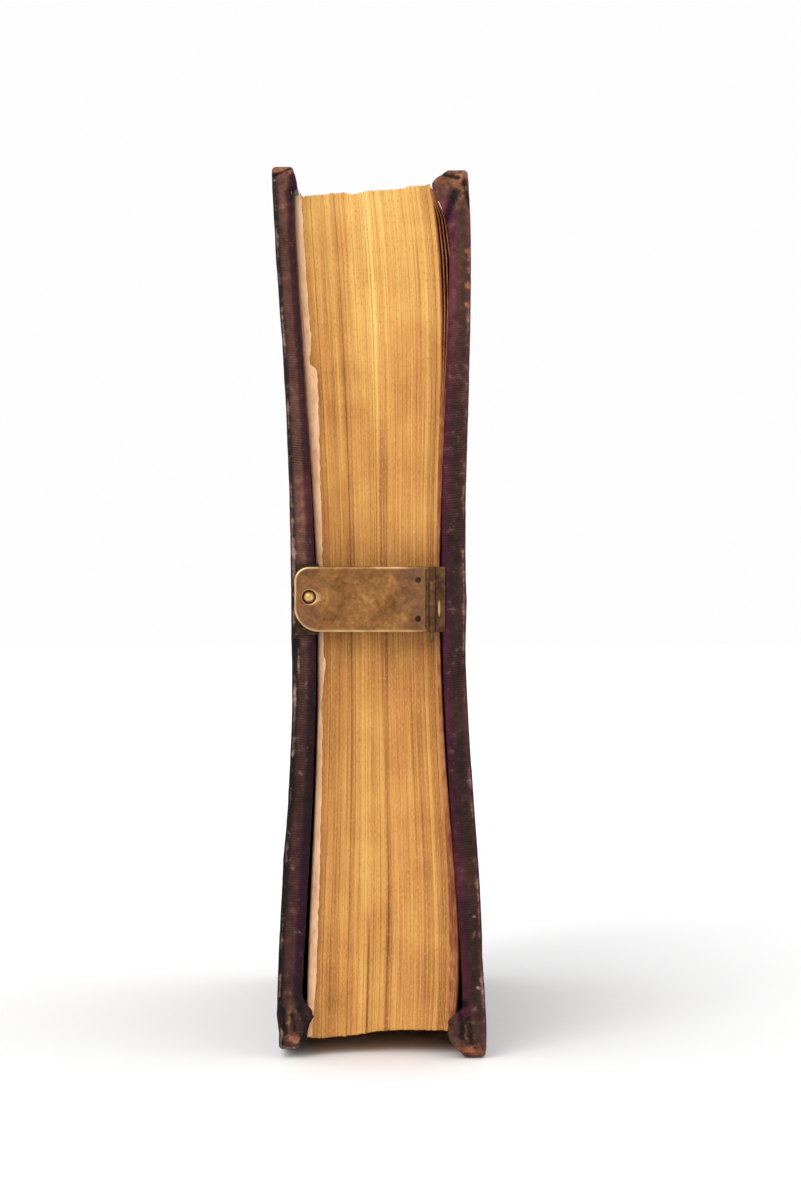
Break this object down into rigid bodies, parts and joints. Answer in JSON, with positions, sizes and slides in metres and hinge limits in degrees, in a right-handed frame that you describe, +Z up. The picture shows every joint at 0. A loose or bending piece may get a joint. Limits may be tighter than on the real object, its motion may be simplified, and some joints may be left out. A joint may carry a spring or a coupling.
{
  "type": "antique leather book",
  "caption": "Small thick antique leather-bound book with bowed boards, gilt edges and a hinged brass clasp across its fore-edge, standing upright.",
  "frame": {"origin": "on the floor under the middle of the book, which stands upright on its tail edges", "axes": "+Z up from tail to head, +Y from the fore-edge to the spine, +X from the front cover to the back cover"},
  "size_m": [0.0358, 0.1066, 0.1506],
  "materials": {
    "gilt_pages": "satin",
    "endpaper": "matte",
    "lining_paper": "matte",
    "endband_thread": "matte",
    "covering_leather": "satin",
    "pasteboard": "matte",
    "worn_brass": "satin",
    "tarnished_brass": "satin",
    "pin_steel": "satin"
  },
  "bodies": {
    "root": {"text_block": "gilt_pages", "front_flyleaf": "endpaper", "back_flyleaf": "endpaper", "spine_leather": "covering_leather", "spine_lining": "lining_paper", "headband_top": "endband_thread", "headband_tail": "endband_thread"},
    "front_cover": {"front_board": "pasteboard", "front_leather": "covering_leather", "front_pastedown": "endpaper", "catch_plate": "tarnished_brass", "catch_stud": "worn_brass", "catch_nail_upper": "worn_brass", "catch_nail_lower": "worn_brass"},
    "back_cover": {"back_board": "pasteboard", "back_leather": "covering_leather", "back_pastedown": "endpaper", "anchor_plate": "tarnished_brass", "hinge_pin": "pin_steel", "anchor_nail_upper": "worn_brass", "anchor_nail_lower": "worn_brass"},
    "clasp": {"hasp_plate": "worn_brass", "hasp_leaf": "tarnished_brass", "hasp_rivet_upper": "worn_brass", "hasp_rivet_lower": "worn_brass"}
  },
  "joints": [
    {"name": "front_cover_hinge", "type": "hinge", "parent": "root", "child": "front_cover", "pos_m": [-0.0172, 0.047, 0.075], "axis": [0, 0, -1], "range_deg": [0, 180]},
    {"name": "back_cover_hinge", "type": "hinge", "parent": "root", "child": "back_cover", "pos_m": [0.0172, 0.047, 0.075], "axis": [0, 0, 1], "range_deg": [0, 180]},
    {"name": "clasp_hinge", "type": "hinge", "parent": "back_cover", "child": "clasp", "pos_m": [0.0091, -0.05205, 0.0774], "axis": [0, 0, 1], "range_deg": [0, 170]}
  ]
}
